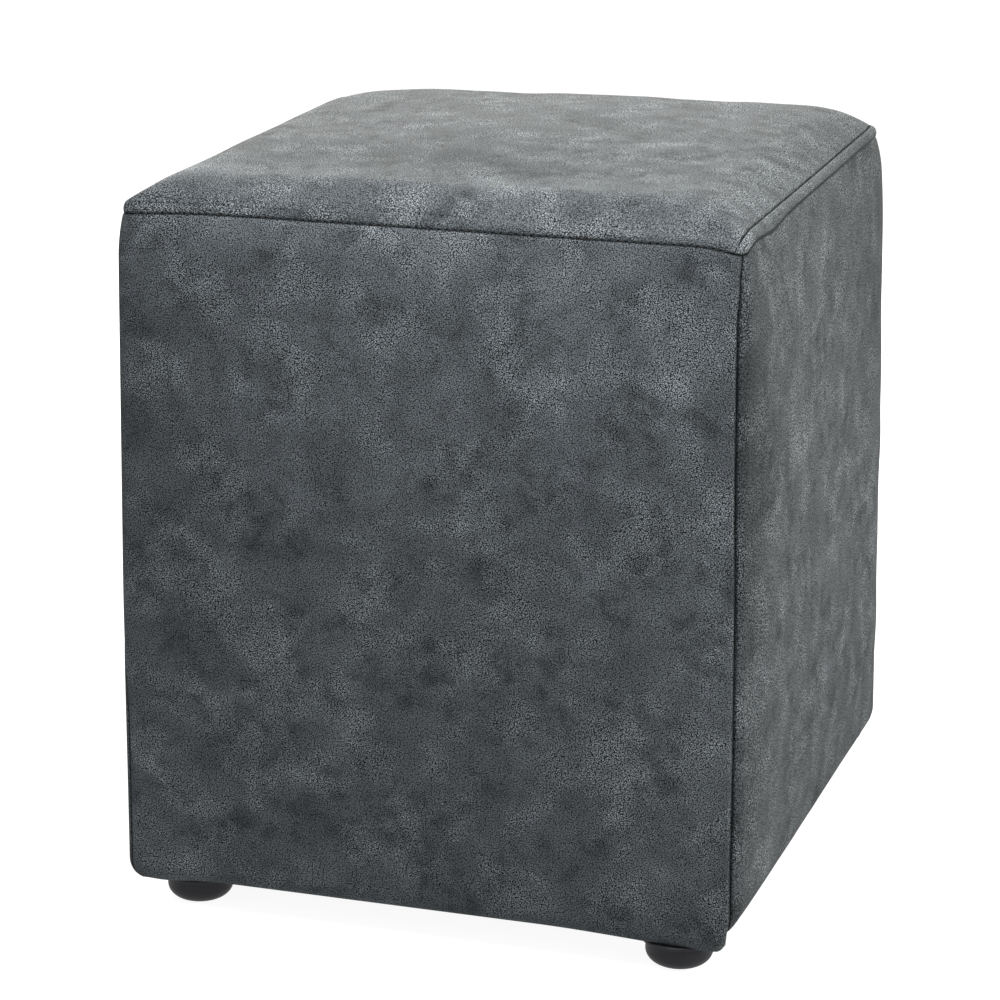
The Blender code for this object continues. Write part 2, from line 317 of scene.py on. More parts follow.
def seat_insets():
    """Distances from the wall's face to the seat's outer rings, the height of each above the seam, and its
    distance with the cloth laid flat: a step in from the seam, a quarter round and a bit for the welt, and
    closely spaced rings over the groove."""
    angle = np.linspace(WELT_START, math.pi / 2, 15)
    rise = (np.sin(angle) - math.sin(WELT_START)) / (1 - math.sin(WELT_START))
    welt_inset = PULL_DEPTH + WELT_RADIUS * (1 - np.cos(angle))
    groove = GROOVE_INSET + np.arange(-5, 7) * GROOVE_RING_STEP
    inset = np.concatenate([[PULL_DEPTH + SEAM_DEPTH], welt_inset, groove])
    height = np.concatenate([[0.0], WELT_HEIGHT * rise, np.full(groove.size, WELT_HEIGHT)])
    length = np.hypot(np.diff(inset), np.diff(height))
    flat = inset[-1] - np.append(np.cumsum(length[::-1])[::-1], 0.0)
    return inset, height, flat


def seat_plan(count, ring_inset, lines):
    """Plan position of every grid point. Ring points follow a rounded square of their inset, with the
    corner's arc shared among the first lines; points further in lie on straight lines."""
    half = count // 2
    index = np.arange(count)
    line = np.minimum(index, count - 1 - index)
    sign = np.where(index < half, -1.0, 1.0)
    a, b = np.meshgrid(line, line, indexing="ij")
    ring, other = np.minimum(a, b), np.maximum(a, b)
    rings = ring_inset.size
    straight = SEAM_HALF - np.concatenate([np.zeros(rings), lines])
    turned = np.radians(45) * np.maximum(0, 1 - (other - ring) / np.maximum(rings - ring, 1))
    radius = CORNER_RADIUS - ring_inset[np.minimum(ring, rings - 1)]
    reach = FLAT_HALF + radius * np.cos(turned)
    side = np.where(other < rings, FLAT_HALF + radius * np.sin(turned), straight[other])
    x = np.where(ring < rings, np.where(a <= b, reach, side), straight[a])
    y = np.where(ring < rings, np.where(a <= b, side, reach), straight[b])
    return x * sign[:, None], y * sign[None, :], ring


def on_front(x, y):
    """1 on the seat's front quarter and 0 on the other three, changing over a few millimetres."""
    return np.clip((-y - np.abs(x)) / FRONT_BLEND + 0.5, 0, 1)


def bell(distance):
    """The groove's section: 1 at its middle, falling to nothing about a groove's width away."""
    return np.exp(-((distance / GROOVE_WIDTH * 2) ** 2))


def groove(x, y, inset):
    """Depth of the groove inside the welt: full on three sides, run out to the front seam at the right end,
    and on the rest of the front only a faint line near the seam that fades out towards the right."""
    front = on_front(x, y)
    faint_end, faint_length = FRONT_GROOVE_FADE
    faint = FRONT_GROOVE_DEPTH * eased((faint_end - x) / faint_length)
    place = GROOVE_INSET + (FRONT_GROOVE_INSET - GROOVE_INSET) * front
    depth = (GROOVE_DEPTH + (faint - GROOVE_DEPTH) * front) * bell(inset - place)
    run_share, run_start, run_slope = RUN_OUT
    run_out = GROOVE_DEPTH * bell(x - (SEAM_HALF - GROOVE_INSET)) * front
    run_out = run_out * eased((inset - run_start) / run_slope)
    return np.maximum(depth, run_share * run_out)


def patches(across, along, table):
    """Sum of soft round or oval patches, each a place, a reach and an amount: amount times e to the power
    of minus the squared distance in reaches."""
    total = np.zeros(np.broadcast(across, along).shape)
    for place_u, place_v, reach_u, reach_v, amount in table:
        far_u, far_v = (across - place_u) / reach_u, (along - place_v) / reach_v
        total = total + amount * np.exp(-(far_u ** 2) - far_v ** 2)
    return total


def front_filling(x, y, inset):
    """Height of a low hump that fills the hollow between the welt and the pad along the front."""
    rise, top, fall = FILL_INSETS
    hump = eased((inset - rise) / (top - rise)) * eased((fall - inset) / (fall - top))
    return FILL_HEIGHT * hump * on_front(x, y)


def seam_wander(x, y):
    """How far the seat seam sags: a bell round one place on the right edge, and one round the front left
    corner."""
    depth, place, reach = RIGHT_SEAM_SAG
    right = depth * np.exp(-(((y - place) / reach) ** 2)) * (x > np.abs(y))
    depth, place, reach = FRONT_SEAM_SAG
    return right + depth * np.exp(-(np.hypot(x - place, y + SEAM_HALF) / reach) ** 2)


def seat_height(x, y, inset, welt_height):
    """Height above the seam: the welt, plus the pad's rounded shoulder and slow dome, plus soft swells,
    humps and the front's filling, less the groove, and less the seam's sag below the welt's top."""
    half = SEAM_HALF - GROOVE_INSET
    across, along = np.maximum(half - np.abs(x), 1e-6), np.maximum(half - np.abs(y), 1e-6)
    near = (across ** -SHOULDER_POWER + along ** -SHOULDER_POWER) ** (-1 / SHOULDER_POWER)
    shoulder = np.sin(np.pi / 2 * np.minimum(near / SHOULDER_REACH, 1))
    pad = 1 + PAD_LEAN * x / SEAM_HALF
    for side_x, side_y, _, _, missing, _ in CORNERS:
        pad = pad - missing * eased(1 - corner_distance(x, y, side_x, side_y) / PAD_REACH)
    dome = DOME_HEIGHT * eased(across / half) * eased(along / half)
    crown = (CROWN_HEIGHT - WELT_HEIGHT) * shoulder * pad + dome
    inside = eased(near / SEAT_SWELL_REACH)
    soft = sum(height * swells(x, y, length, seed) for height, length, seed in SEAT_SWELLS) * inside
    soft = soft + patches(x, y, [(u, v, reach, reach, height) for u, v, reach, height in HUMPS])
    sag = seam_wander(x, y) * (1 - welt_height / WELT_HEIGHT)
    return welt_height + crown + soft - groove(x, y, inset) + front_filling(x, y, inset) - sag


def new_piece(name, places, faces):
    """A smooth-shaded mesh object of these points and faces, linked to the scene."""
    mesh = bpy.data.meshes.new(name)
    mesh.from_pydata(places.reshape(-1, 3).tolist(), [], faces)
    mesh.shade_smooth()
    piece = bpy.data.objects.new(name, mesh)
    bpy.context.collection.objects.link(piece)
    return piece


def padded_panel(name, material, points, tucked, cloth, **shares):
    """A closed panel mesh: the cover is a grid of points, its rim is carried inwards to the tucked points
    and the flat inside is one face. Attribute cloth is the place on the flat cut panel, in metres, which
    goes on past the rim by the distance to the tucked points. Each share is an attribute of its own: seam
    is 1 at a seam and 0 away from it, and nap and relief are as the cover's material takes them."""
    rows, columns = points.shape[:2]
    index = np.arange(rows * columns).reshape(rows, columns)
    quads = np.stack([index[:-1, :-1], index[1:, :-1], index[1:, 1:], index[:-1, 1:]], -1).reshape(-1, 4)
    rim = np.concatenate([index[0, :-1], index[:-1, -1], index[-1, :0:-1], index[:0:-1, 0]])
    inner = rows * columns + np.arange(rim.size)
    sides = np.stack([rim, np.roll(rim, -1), np.roll(inner, -1), inner], -1)
    places = np.concatenate([points.reshape(-1, 3), tucked.reshape(-1, 3)[rim]])
    piece = new_piece(name, places, quads.tolist() + sides.tolist() + [inner.tolist()])
    mesh = piece.data
    turned_in = np.linalg.norm((tucked - points).reshape(-1, 3)[rim], axis=1)
    rim_cloth = cloth.reshape(-1, 3)[rim] - np.outer(turned_in, (0.0, 1.0, 0.0))
    flat = np.concatenate([cloth.reshape(-1, 3), rim_cloth]).astype(np.float32)
    mesh.attributes.new("cloth", "FLOAT_VECTOR", "POINT").data.foreach_set("vector", flat.ravel())
    for share_name, share in shares.items():
        share = share + 0 * points[..., 0]
        values = np.concatenate([share.ravel(), share.ravel()[rim]]).astype(np.float32)
        mesh.attributes.new(share_name, "FLOAT", "POINT").data.foreach_set("value", values)
    mesh.materials.append(material)
    return piece


def face_outwards(piece):
    """Turns the faces of a closed mesh outwards, and keeps sharp only what is sharper than 50 degrees."""
    bm = bmesh.new()
    bm.from_mesh(piece.data)
    bmesh.ops.remove_doubles(bm, verts=bm.verts, dist=0.000001)
    bmesh.ops.recalc_face_normals(bm, faces=bm.faces)
    bm.to_mesh(piece.data)
    bm.free()
    piece.data.set_sharp_from_angle(angle=math.radians(50))


ring_inset, ring_height, ring_flat = seat_insets()
line_count = round((SEAM_HALF - CORNER_RADIUS) / SEAT_LINE_STEP)
seat_lines = CORNER_RADIUS + (SEAM_HALF - CORNER_RADIUS) * np.linspace(0, 1, line_count + 1)
seat_count = 2 * (ring_inset.size + seat_lines.size) - 1
seat_x, seat_y, seat_ring = seat_plan(seat_count, ring_inset, seat_lines)
is_ring = seat_ring < ring_inset.size
capped = np.minimum(seat_ring, ring_inset.size - 1)
seat_inset = np.where(is_ring, ring_inset[capped], SEAM_HALF - np.maximum(abs(seat_x), abs(seat_y)))
welt_height = np.where(is_ring, ring_height[capped], WELT_HEIGHT)
seat_z = SEAM_LEVEL + GAP + seat_height(seat_x, seat_y, seat_inset, welt_height)
seat_z = seat_z - seam_drop(seat_x, seat_y)
seat_points = np.stack([*drawn_in(seat_x, seat_y, 1.0), seat_z], -1)
seat_tucked = np.stack(
    [
        np.clip(seat_x * INNER_HALF / FLAT_HALF, -INNER_HALF, INNER_HALF),
        np.clip(seat_y * INNER_HALF / FLAT_HALF, -INNER_HALF, INNER_HALF),
        np.full_like(seat_x, SEAM_LEVEL + GAP),
    ],
    -1,
)
# painted shade: the seat seam's ditch and the groove inside the welt are darkened in the colour, most on the
# right, where the lights leave the ditch unshaded; partly also pile pressed flat
seam_shade = np.where(seat_x > abs(seat_y), RIGHT_SEAM_SHADE, 1.0)
seam_line = (1 - eased(welt_height / SEAM_SHADE_HEIGHT)) * seam_shade
groove_line = np.sqrt(groove(seat_x, seat_y, seat_inset) / GROOVE_DEPTH)
flat_reach = SEAM_HALF - np.where(is_ring, ring_flat[capped], seat_inset)
stretch = flat_reach / np.maximum(SEAM_HALF - seat_inset, LEAST_REACH)
seat_cloth = np.stack([seat_x * stretch, seat_y * stretch, np.zeros_like(seat_x)], -1)
seat = padded_panel(
    "seat",
    cover,
    seat_points,
    seat_tucked,
    seat_cloth,
    seam=np.maximum(seam_line, groove_line),
    # patches of painted light and shade, mixed with the pile's patchy lie
    nap=patches(seat_x, seat_y, SEAT_LIGHT_AND_NAP_PATCHES),
    relief=SEAT_RELIEF,
)
face_outwards(seat)
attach(seat, "root")
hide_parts("top_panel")


# ---- Walls --------------------------------------------------------------------------------------
# Four upright cover panels over board and thin foam. Plain seams join them just round the corners, the
# seat seam draws their top edge in, and at the bottom they are pulled under the board and stapled.
SEAM_REACH = 0.0025
PULL_REACH = 0.030
# for each corner, (height, degrees): how far round the corner from the front or back face its seam lies
CORNER_TURNS = (
    ((0.040, 24), (0.120, 27), (0.215, 27), (0.270, 22), (0.370, 22), (0.398, 32), (0.412, 46)),
    ((0.095, 36), (0.175, 80)),
    ((0.120, 24), (0.270, 16), (0.385, 16), (0.412, 26)),
    ((0.180, 18), (0.330, 25)),
)
HEM_FADE = 0.050
HEM_LIFT_REACH = 0.0100
GATHER_HEIGHT = 0.200
GATHER_REACH = 0.030
UNDER_REACH = 0.016
# name, node, quarter turns, corners at its left and right ends, belly and the drop over which it rises,
# under radii beside its left seam, at its left and right ends, and beside its right seam,
# droop of the hem and its reach, at the left and at the right,
# how far it is drawn in at the seat seam and its reach, at the left and at the right,
# how far the hem is lifted beside its left and its right seam, and how far gathered in there
WALLS = (
    (
        "front_cover", "front_panel", 0, (1, 0), (0.0030, 0.060), (0.014, 0.012, 0.012, 0.014),
        (0.0042, 0.060, 0.0037, 0.120), (0.0030, 0.028, 0.0030, 0.030), (0.0, 0.0155), (0.0020, 0.0),
    ),
    (
        "right_cover", "right_panel", 1, (0, 3), (0.0067, 0.105), (0.0335, 0.0335, 0.0235, 0.0235),
        (0.0, 0.060, 0.0, 0.060), (0.0030, 0.030, 0.0036, 0.070), (0.0, 0.0), (0.0, 0.0),
    ),
    (
        "back_cover", "back_panel", 2, (3, 2), (0.0025, 0.060), (0.012, 0.012, 0.012, 0.012),
        (0.0016, 0.060, 0.0016, 0.060), (0.0036, 0.070, 0.0030, 0.030), (0.0, 0.0), (0.0, 0.0),
    ),
    (
        "left_cover", "left_panel", 3, (2, 1), (0.0032, 0.060), (0.012, 0.012, 0.012, 0.014),
        (0.0016, 0.060, 0.0042, 0.060), (0.0030, 0.030, 0.0030, 0.028), (0.0, 0.0), (0.0, 0.0020),
    ),
)
# patches of painted light and shade on each wall, mixed with the pile's patchy lie: place along and up,
# reach along and up, lighter or darker; the right wall's dark patches beside its front seam are painted
# shade where it turns towards the corner, and the front's lighter patches near its top are painted light
WALL_LIGHT_AND_NAP_PATCHES = (
    (
        (-0.020, 0.412, 0.090, 0.024, 0.32),
        (0.080, 0.345, 0.080, 0.070, 0.20),
        (-0.160, 0.270, 0.050, 0.100, -0.22),
        (-0.085, 0.345, 0.028, 0.022, -0.22),
        (0.165, 0.150, 0.040, 0.120, 0.24),
        (0.090, 0.155, 0.030, 0.025, 0.18),
        (-0.175, 0.055, 0.018, 0.035, 0.26),
        (-0.085, 0.040, 0.030, 0.020, -0.22),
        (-0.115, 0.165, 0.020, 0.020, -0.22),
        (0.010, 0.110, 0.030, 0.020, -0.16),
        (-0.020, 0.280, 0.060, 0.040, 0.06),
    ),
    (
        (-0.192, 0.330, 0.034, 0.110, -0.70),
        (-0.192, 0.110, 0.026, 0.140, -0.30),
        (0.000, 0.220, 0.120, 0.140, 0.14),
        (0.150, 0.340, 0.060, 0.100, -0.26),
    ),
    (),
    (),
)
# how strong the grain is on each wall
WALL_RELIEF = (1.0, 1.10, 1.04, 1.04)
# how dark the painted shade is on each wall at the seat seam, darkest on the right where the lights cast
# none, and the widths of the painted dark lines at the seat and upright seams; partly also pile pressed flat
SEAT_SEAM_SHADES = (1.3, 2.0, 1.3, 1.3)
SEAT_SEAM_SHADE_WIDTH = 0.0012
UPRIGHT_SEAM_SHADE_WIDTH = 0.0010
# the belly: its reach in from a wall's ends, and the height over which it rises above the underside
BELLY_REACH = 0.060
BELLY_RISE = 0.10
# soft swells of the padding: height, length, first seed; and how far from a seam and from the underside
# they are whole
WALL_SWELLS = ((0.0009, 0.150, 10), (0.00025, 0.045, 20))
WALL_SWELL_REACH = 0.04
WALL_SWELL_RISE = 0.05
# how far below the seat seam a wall follows its drop and sag, and a back right corner that is drawn in
SEAM_DROP_REACH = 0.060
DRAWN_IN_REACH = 0.022
# how far apart the walls' cloth lies in the cover's pattern
CLOTH_SPACING = 1.37
# rows by their drop below the seat seam and columns by their distance from a corner, close to the seams,
# and the even rows and columns between them
ROW_DROPS_MM = (0, 0.25, 0.5, 0.8, 1.2, 1.8, 2.6, 4, 6, 9, 12, 16, 20, 25, 30)
WALL_ROWS = 60
COLUMN_DISTANCES_MM = (0, 0.8, 1.8, 3, 4.5, 6.5, 9)
WALL_COLUMN_START = 0.012
WALL_COLUMN_STEP = 0.0035
MIDDLE_MARGIN = 0.001
LEAST_RADIUS = 0.001
TUCK_MARGIN = 0.001


def half_width(height):
    """Half the plan width at a height above the underside: wider at the bottom by the taper."""
    return SIDE / 2 * (1 + TAPER * (0.5 - height / WALL_HEIGHT))


def seam_lip(distance):
    """How far the cloth turns in at a distance from a seam: a square law over SEAM_REACH."""
    return SEAM_DEPTH * np.maximum(0, 1 - distance / SEAM_REACH) ** 2


def seam_turn(corner, height):
    """Angle round a corner at which its upright seam lies, eased from each row of its table to the next."""
    points = CORNER_TURNS[corner]
    turn = points[0][1]
    for (low, before), (high, after) in zip(points, points[1:]):
        turn = turn + (after - before) * eased((height - low) / (high - low))
    return np.radians(turn)


def hem_droop(x, droops):
    """How far a wall's hem hangs below the underside at x along it, eased out from both its ends."""
    left, left_reach, right, right_reach = droops
    at_left = left * eased(1 - (SEAM_HALF + x) / left_reach)
    return at_left + right * eased(1 - (SEAM_HALF - x) / right_reach)


def under_radius(radii, share, distance):
    """Rounding at the bottom of a wall, at a share of its flat from -1 to 1 and a distance from a seam."""
    beside_left, left, right, beside_right = radii
    even = left + (right - left) * (share + 1) / 2
    own = np.where(share < 0, beside_left, beside_right)
    return even + (own - even) * eased(1 - distance / UNDER_REACH)


def wall_rows(under, share, pulls):
    """(inset, height, length of cloth above the underside) down a wall, for every under radius and share of
    the flat: the top drawn in by a square law, the straight run and the quarter round to the underside. Rows
    go down the first axis, and columns along the second."""
    drop = np.array(ROW_DROPS_MM)[:, None] / 1000
    part = np.linspace(0, 1, WALL_ROWS)[1:-1, None]
    straight = under + (WALL_HEIGHT - PULL_REACH - under) * (1 - part)
    angle = np.radians(np.linspace(0, 90, 19))[:, None]
    height = np.concatenate([WALL_HEIGHT - drop + 0 * under, straight, under * (1 - np.sin(angle))])
    cloth = np.concatenate([WALL_HEIGHT - drop + 0 * under, straight, under * (1 - angle)])
    at_left, reach_left, at_right, reach_right = pulls
    pull = at_left + (at_right - at_left) * (share + 1) / 2
    pull_reach = reach_left + (reach_right - reach_left) * (share + 1) / 2
    below = WALL_HEIGHT - height
    inset = seam_lip(below) + pull * np.clip(1 - below / pull_reach, 0, 1) ** 2
    inset[-angle.size :] += under * (1 - np.cos(angle))
    return inset, height, cloth


def wall_columns():
    """(share of the seam's turn, share of the flat, distance from the seam) from seam to seam."""
    arc = np.linspace(1, 0, 9)[:-1]
    near = np.array(COLUMN_DISTANCES_MM) / 1000
    even = np.arange(WALL_COLUMN_START, FLAT_HALF - MIDDLE_MARGIN, WALL_COLUMN_STEP)
    line = np.concatenate([near, even])
    turn_share = np.concatenate([arc, np.zeros(line.size)])
    flat_share = np.concatenate([np.ones(arc.size), 1 - line / FLAT_HALF])
    flat_distance = np.concatenate([np.zeros(arc.size), line])
    turn_share = np.concatenate([-turn_share, [0], turn_share[::-1]])
    flat_share = np.concatenate([-flat_share, [0], flat_share[::-1]])
    flat_distance = np.concatenate([flat_distance, [FLAT_HALF], flat_distance[::-1]])
    return turn_share, flat_share, flat_distance


def make_wall(name, node, quarter_turns, corners, bellies, under_radii, droops, pulls, lifts, gathers):
    """One wall worked out facing the front and turned into place: a rounded square at every height, drawn
    in at its seams, with a soft belly and swells in its face. Its top follows the seat seam, and its hem
    droops or is lifted at the corners."""
    turn_share, flat_share, flat_distance = wall_columns()
    share = flat_share[None, :]
    under = under_radius(under_radii, share, flat_distance[None, :])
    inset, height, cloth_height = wall_rows(under, share, pulls)
    drop = WALL_HEIGHT - height
    left, right = seam_turn(corners[0], height), seam_turn(corners[1], height)
    turn_here = np.where(turn_share[None, :] < 0, left, right)
    turn_here = turn_here if quarter_turns % 2 == 0 else math.pi / 2 - turn_here
    angle = turn_here * turn_share[None, :]
    distance = CORNER_RADIUS * (turn_here - abs(angle)) + flat_distance[None, :]
    own_gather = np.where(share < 0, *gathers) * eased(1 - distance / GATHER_REACH)
    inset = inset + seam_lip(distance) + own_gather * eased(1 - height / GATHER_HEIGHT)
    radius = np.maximum(CORNER_RADIUS - inset, LEAST_RADIUS)
    centre = half_width(height) - inset - radius
    x = share * (centre - GAP) + radius * np.sin(angle)
    y = -centre - radius * np.cos(angle)
    level = FOOT_HEIGHT + height
    face = 1 - np.clip(1 - flat_distance[None, :] / BELLY_REACH, 0, 1) ** 3
    belly, belly_drop = bellies
    face = face * (eased(0.5 + drop / belly_drop / 4) * 2 - 1) * eased(height / BELLY_RISE)
    inside = eased(np.minimum(distance, drop) / WALL_SWELL_REACH) * eased(height / WALL_SWELL_RISE)
    soft = sum(size * swells(x, level, length, seed + quarter_turns) for size, length, seed in WALL_SWELLS)
    y = y - belly * face - inside * soft
    tucked_x = share * (INNER_HALF - TUCK_MARGIN) + 0 * x
    tucked_y = np.full_like(x, -INNER_HALF)
    cos, sin = (1, 0, -1, 0)[quarter_turns], (0, 1, 0, -1)[quarter_turns]
    plan_x, plan_y = cos * x - sin * y, sin * x + cos * y
    seam_fall = seam_drop(plan_x, plan_y) + seam_wander(plan_x, plan_y)
    level = level - seam_fall * eased(1 - drop / SEAM_DROP_REACH)
    lift = np.where(share < 0, *lifts) * np.clip(1 - distance / HEM_LIFT_REACH, 0, 1) ** 2
    level = level + (lift - hem_droop(x, droops)) * eased(1 - height / HEM_FADE)
    near_seat = np.clip(1 - drop / DRAWN_IN_REACH, 0, 1) ** 2 * (plan_x > 0)
    points = np.stack([*drawn_in(plan_x, plan_y, near_seat), level], -1)
    tucked = np.stack(
        [cos * tucked_x - sin * tucked_y, sin * tucked_x + cos * tucked_y, FOOT_HEIGHT + height], -1
    )
    across = share * FLAT_HALF + CORNER_RADIUS * angle
    cloth = np.stack([across, cloth_height, np.full_like(across, CLOTH_SPACING * (quarter_turns + 1))], -1)
    # painted shade along the upright seams and the seat seam, strongest on the right wall; partly also pile
    # pressed flat
    beside_upright = 1 - eased(distance / UPRIGHT_SEAM_SHADE_WIDTH)
    beside_seat = SEAT_SEAM_SHADES[quarter_turns] * (1 - eased(drop / SEAT_SEAM_SHADE_WIDTH))
    wall = padded_panel(
        name,
        cover,
        points,
        tucked,
        cloth,
        seam=np.maximum(beside_upright, beside_seat),
        # patches of painted light and shade, mixed with the pile's patchy lie
        nap=patches(across, cloth_height, WALL_LIGHT_AND_NAP_PATCHES[quarter_turns]),
        relief=WALL_RELIEF[quarter_turns],
    )
    face_outwards(wall)
    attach(wall, "root")
    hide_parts(node)


for wall_words in WALLS:
    make_wall(*wall_words)


# ---- Seat seam stitches -------------------------------------------------------------------------
# Dark polyester thread, lockstitched along the ditch of the seat seam, one short stitch after another. It
# joins the seat's turned-under edge to the walls' top edges all round.
STITCH_PITCH = 0.0045
STITCH_LENGTH = 0.0036
STITCH_RADIUS = 0.00045
STITCH_INSET = 0.0034


def thread_material(name):
    """Near-black polyester thread: fuzz lightens and roughens it in specks."""
    material, shader = new_material(name)
    place = Wire.node("ShaderNodeTexCoord", output=3)
    fuzz = noise(place, 900.0, 2.0)
    tone = (fuzz * 0.5 + 0.5).mix((0.008, 0.009, 0.010, 1.0), (0.030, 0.033, 0.036, 1.0))
    link(tone, shader, "Base Color")
    link(fuzz * 0.2 + 0.55, shader, "Roughness")
    bump = Wire.node("ShaderNodeBump", {}, {"Strength": 0.4, "Distance": 0.0002, "Height": fuzz})
    link(bump, shader, "Normal")
    return material


def stitches(name, centres, ways):
    """Capsules of five rings of six points, thinning at both ends, one for every centre, lying along its
    way in plan; all are one mesh."""
    along = np.array([-0.5, -0.32, 0.0, 0.32, 0.5]) * STITCH_LENGTH
    thick = np.array([0.15, 0.85, 1.0, 0.85, 0.15]) * STITCH_RADIUS
    turned = np.radians(np.arange(6) * 60)
    out = np.stack([ways[:, 1], -ways[:, 0], np.zeros(len(ways))], -1)
    way = np.concatenate([ways, np.zeros((len(ways), 1))], -1)
    up = np.array([0.0, 0.0, 1.0])
    rings = (
        centres[:, None, None, :]
        + way[:, None, None, :] * along[None, :, None, None]
        + out[:, None, None, :] * (thick[:, None] * np.cos(turned))[None, :, :, None]
        + up * (thick[:, None] * np.sin(turned))[None, :, :, None]
    )
    index = np.arange(rings.size // 3).reshape(rings.shape[:-1])
    ahead = np.roll(index, -1, 2)
    quads = np.stack([index[:, :-1], ahead[:, :-1], ahead[:, 1:], index[:, 1:]], -1).reshape(-1, 4)
    caps = np.concatenate([index[:, 0, ::-1], index[:, -1]])
    return new_piece(name, rings, quads.tolist() + caps.tolist())


stitch_count = int(2 * FLAT_HALF / STITCH_PITCH)
run = (np.arange(stitch_count) - (stitch_count - 1) / 2) * STITCH_PITCH
edge = np.full(stitch_count, -(SEAM_HALF - STITCH_INSET))
front_centres = np.stack([run, edge], -1)
front_ways = np.tile([1.0, 0.0], (stitch_count, 1))
plan_centres, plan_ways = [], []
for cos, sin in ((1, 0), (0, 1), (-1, 0), (0, -1)):
    spin = np.array([[cos, sin], [-sin, cos]])
    plan_centres.append(front_centres @ spin)
    plan_ways.append(front_ways @ spin)
plan_centres, plan_ways = np.concatenate(plan_centres), np.concatenate(plan_ways)
stitch_x, stitch_y = drawn_in(*plan_centres.T, 1.0)
levels = SEAM_LEVEL + GAP / 2 - seam_drop(stitch_x, stitch_y) - seam_wander(stitch_x, stitch_y)
thread = stitches("seat_stitches", np.column_stack([stitch_x, stitch_y, levels]), plan_ways)
thread.data.materials.append(thread_material("dark_thread"))
face_outwards(thread)
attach(thread, "root")


# ---- Base ---------------------------------------------------------------------------------------
# The board that closes the underside, covered with thin black non-woven cloth stretched over it. It lies
# inside the walls' turned-under edges.
BASE_HALF = INNER_HALF - 2 * GAP
BASE_THICKNESS = 0.012
BASE_SAG = 0.0012
BASE_ROUNDING = 0.0015
# soft swells of the cloth: height, length, seed; and the share of the half width over which they rise
BASE_SWELLS = (0.0003, 0.05, 31)
BASE_SWELL_SHARE = 0.2


def base_material(name):
    """Black non-woven cloth: short crossing fibres and a regular pattern of tiny bonded dimples."""
    material, shader = new_material(name)
    place = Wire.node("ShaderNodeTexCoord", output=3)
    fibres = noise(place, 420.0, 4.0, 0.7, 1.2)
    dimples = cells(place, 480.0, 0.35).smooth(0.1, 0.5)
    tone = (fibres * 0.7 + dimples * 0.3).mix((0.006, 0.006, 0.007, 1.0), (0.026, 0.026, 0.028, 1.0))
    link(tone, shader, "Base Color")
    link(0.95 - fibres * 0.15, shader, "Roughness")
    bump = Wire.node("ShaderNodeBump", {}, {"Strength": 0.5, "Distance": 0.0003, "Height": dimples + fibres})
    link(bump, shader, "Normal")
    return material


base_grid = np.linspace(-1, 1, 61)
base_u, base_v = np.meshgrid(base_grid, base_grid, indexing="ij")
edge_share = 1 - np.maximum(abs(base_u), abs(base_v))
base_x, base_y = base_u * BASE_HALF, base_v * BASE_HALF
swell_height, swell_length, swell_seed = BASE_SWELLS
base_swell = swell_height * swells(base_x, base_y, swell_length, swell_seed)
base_fall = BASE_SAG * (1 - base_u ** 2) * (1 - base_v ** 2)
base_fall = base_fall + base_swell * eased(edge_share / BASE_SWELL_SHARE)
past_rounding = np.clip(1 - edge_share * BASE_HALF / BASE_ROUNDING, 0, 1)
base_round = BASE_ROUNDING * (1 - np.sqrt(1 - past_rounding ** 2))
base_under = np.stack([base_x, base_y, FOOT_HEIGHT + base_round + BASE_SAG - base_fall], -1)
base_top = np.stack([base_x, base_y, np.full_like(base_u, FOOT_HEIGHT + BASE_THICKNESS)], -1)
base = padded_panel("base_board", base_material("black_base_cloth"), base_under, base_top, base_under)
face_outwards(base)
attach(base, "root")
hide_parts("base_panel")


# ---- Feet ---------------------------------------------------------------------------------------
# Four round glides of moulded black plastic: a thin flange against the underside and a plump pad with
# a well-rounded lower edge. One screw each holds them, up through a hole that the pad hides.
FEET = (
    ("glide_front_left", "foot_front_left", -0.1526, -0.1632),
    ("glide_front_right", "foot_front_right", 0.1509, -0.1692),
    ("glide_back_left", "foot_back_left", -0.1530, 0.1610),
    ("glide_back_right", "foot_back_right", 0.1530, 0.1610),
)
PAD_RADIUS = 0.020
PAD_ROUNDING = 0.011
PAD_ROUNDING_HEIGHT = 0.009
FLAT_RING_RADIUS = 0.006
FILLET = 0.0012
FILLET_SUNK = 0.0003
FILLET_CLEARANCE = 0.0005
FLANGE_RADIUS = 0.0228
FLANGE_THICKNESS = 0.0022
FLANGE_RIM = 0.0007
GLIDE_STEPS = 96


def glide_material(name):
    """Satin black moulded plastic: a fine spark-eroded texture, faint flow marks, and scuffs near the
    floor that are a little lighter and rougher."""
    material, shader = new_material(name)
    place = Wire.node("ShaderNodeTexCoord", output=3)
    height = Wire.node("ShaderNodeSeparateXYZ", {}, {0: place}, output=2)
    texture = noise(place, 1400.0, 2.0)
    flow = noise(place, 60.0, 2.0, 0.5, 1.5)
    scuffs = noise(place, 300.0, 4.0, 0.7, 2.0).smooth(0.56, 0.72) * (1.0 - height.smooth(0.002, 0.009))
    tone = (flow * 0.6 + scuffs * 0.5).mix((0.0095, 0.0100, 0.0130, 1.0), (0.026, 0.027, 0.034, 1.0))
    link(tone, shader, "Base Color")
    link(flow * 0.10 + texture * 0.08 + scuffs * 0.2 + 0.30, shader, "Roughness")
    bump = Wire.node("ShaderNodeBump", {}, {"Strength": 0.25, "Distance": 0.0001, "Height": texture + scuffs})
    link(bump, shader, "Normal")
    return material


